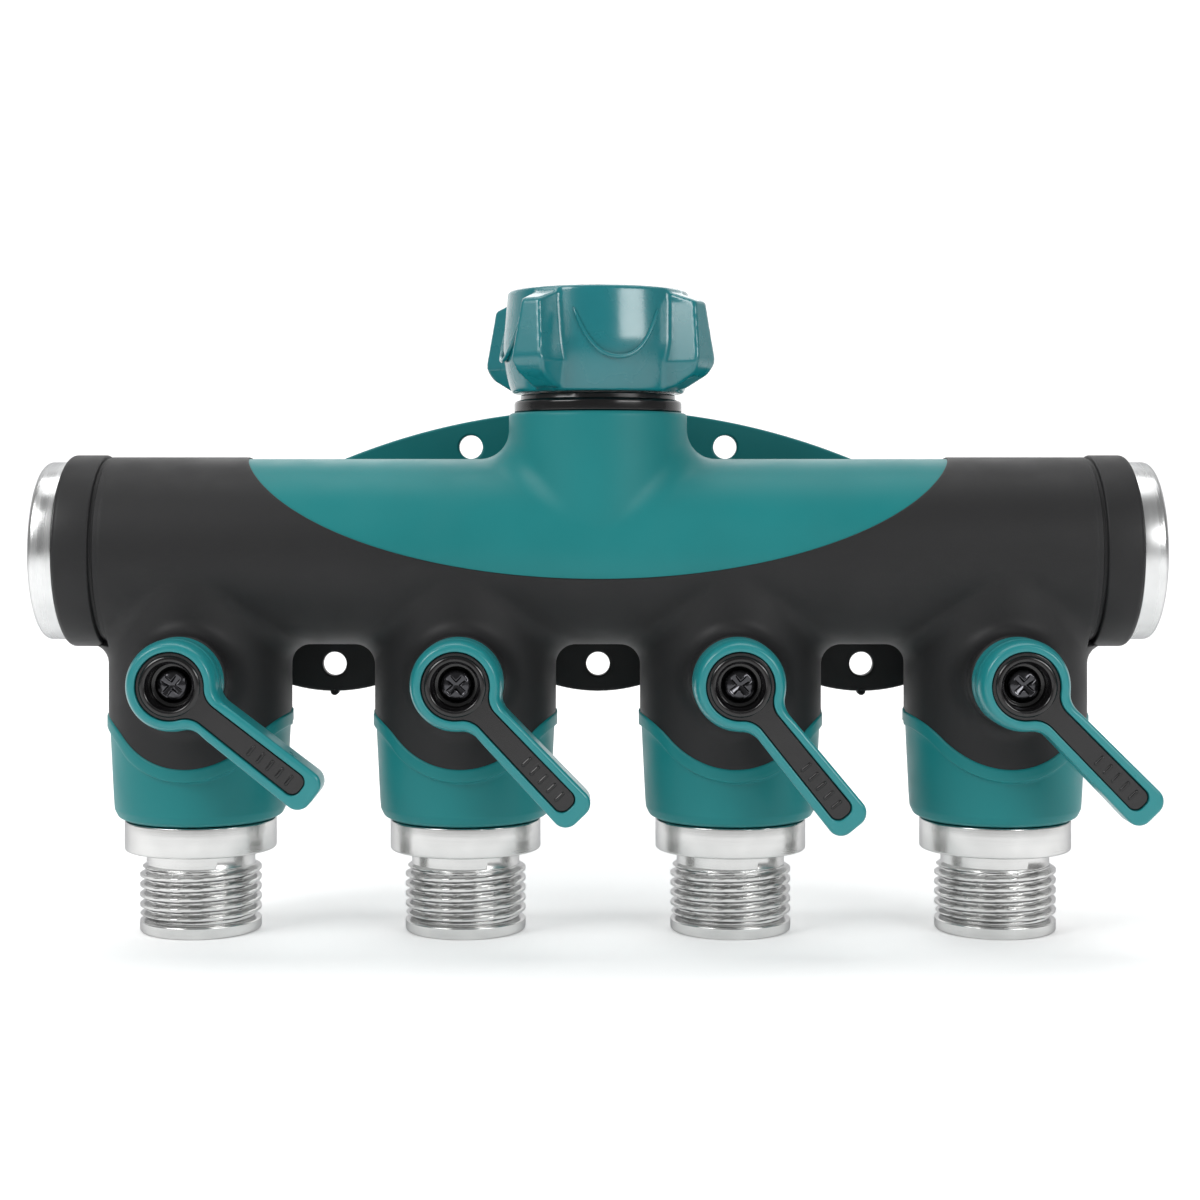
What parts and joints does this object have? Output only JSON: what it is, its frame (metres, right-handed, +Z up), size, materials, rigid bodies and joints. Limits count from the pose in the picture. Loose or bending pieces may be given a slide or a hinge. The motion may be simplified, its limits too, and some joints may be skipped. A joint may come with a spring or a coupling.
{
  "type": "hose splitter",
  "caption": "Garden hose manifold: swivel inlet nut on a horizontal barrel, lever-valved threaded outlets pointing down, and a rear plate with screw holes.",
  "frame": {"origin": "on the swivel axis at the first thread of the inlet nut, 1.8 mm inside its mouth", "axes": "+X along the barrel to the viewer's right, +Y towards the wall behind, +Z up along the inlet's axis, out of its mouth"},
  "size_m": [0.247, 0.0665, 0.143],
  "materials": {
    "teal_plastic": "satin moulded, fine texture",
    "teal_lever": "satin moulded",
    "teal_nut": "glossy moulded",
    "black_rubber": "matte soft-touch",
    "black_plastic": "satin",
    "seal_rubber": "smooth",
    "aluminium": "turned, satin",
    "seat_ptfe": "smooth",
    "ball_steel": "polished",
    "stem_brass": "turned",
    "screw_steel": "nickel plated"
  },
  "bodies": {
    "manifold": {"manifold_body": "teal_plastic", "grip_skin": "black_rubber", "outlet_sleeve_1": "teal_plastic", "outlet_spigot_1": "aluminium", "outlet_o_ring_1": "seal_rubber", "valve_seats_1": "seat_ptfe", "outlet_sleeve_2": "teal_plastic", "outlet_spigot_2": "aluminium", "outlet_o_ring_2": "seal_rubber", "valve_seats_2": "seat_ptfe", "outlet_sleeve_3": "teal_plastic", "outlet_spigot_3": "aluminium", "outlet_o_ring_3": "seal_rubber", "valve_seats_3": "seat_ptfe", "outlet_sleeve_4": "teal_plastic", "outlet_spigot_4": "aluminium", "outlet_o_ring_4": "seal_rubber", "valve_seats_4": "seat_ptfe", "end_plug_left": "aluminium", "end_plug_o_ring_left": "seal_rubber", "end_plug_right": "aluminium", "end_plug_o_ring_right": "seal_rubber", "inlet_tail": "aluminium", "inlet_tail_o_ring": "seal_rubber", "swivel_collar": "black_plastic", "inlet_washer": "seal_rubber"},
    "valve_1": {"lever_1": "teal_lever", "lever_insert_1": "black_plastic", "lever_screw_1": "screw_steel", "valve_stem_1": "stem_brass", "valve_ball_1": "ball_steel", "stem_o_ring_1": "seal_rubber"},
    "valve_2": {"lever_2": "teal_lever", "lever_insert_2": "black_plastic", "lever_screw_2": "screw_steel", "valve_stem_2": "stem_brass", "valve_ball_2": "ball_steel", "stem_o_ring_2": "seal_rubber"},
    "valve_3": {"lever_3": "teal_lever", "lever_insert_3": "black_plastic", "lever_screw_3": "screw_steel", "valve_stem_3": "stem_brass", "valve_ball_3": "ball_steel", "stem_o_ring_3": "seal_rubber"},
    "valve_4": {"lever_4": "teal_lever", "lever_insert_4": "black_plastic", "lever_screw_4": "screw_steel", "valve_stem_4": "stem_brass", "valve_ball_4": "ball_steel", "stem_o_ring_4": "seal_rubber"},
    "swivel_nut": {"inlet_nut": "teal_nut"}
  },
  "joints": [
    {"name": "lever_1_turn", "type": "hinge", "parent": "manifold", "child": "valve_1", "pos_m": [-0.08925, 0, -0.0836], "axis": [0, 1, 0], "range_deg": [-38, 52]},
    {"name": "lever_2_turn", "type": "hinge", "parent": "manifold", "child": "valve_2", "pos_m": [-0.02975, 0, -0.0836], "axis": [0, 1, 0], "range_deg": [-46.5, 43.5]},
    {"name": "lever_3_turn", "type": "hinge", "parent": "manifold", "child": "valve_3", "pos_m": [0.02975, 0, -0.0836], "axis": [0, 1, 0], "range_deg": [-51, 39]},
    {"name": "lever_4_turn", "type": "hinge", "parent": "manifold", "child": "valve_4", "pos_m": [0.08925, 0, -0.0836], "axis": [0, 1, 0], "range_deg": [-45.5, 44.5]},
    {"name": "inlet_swivel", "type": "hinge", "parent": "manifold", "child": "swivel_nut", "pos_m": [0, 0, 0], "axis": [0, 0, 1], "continuous": true}
  ]
}
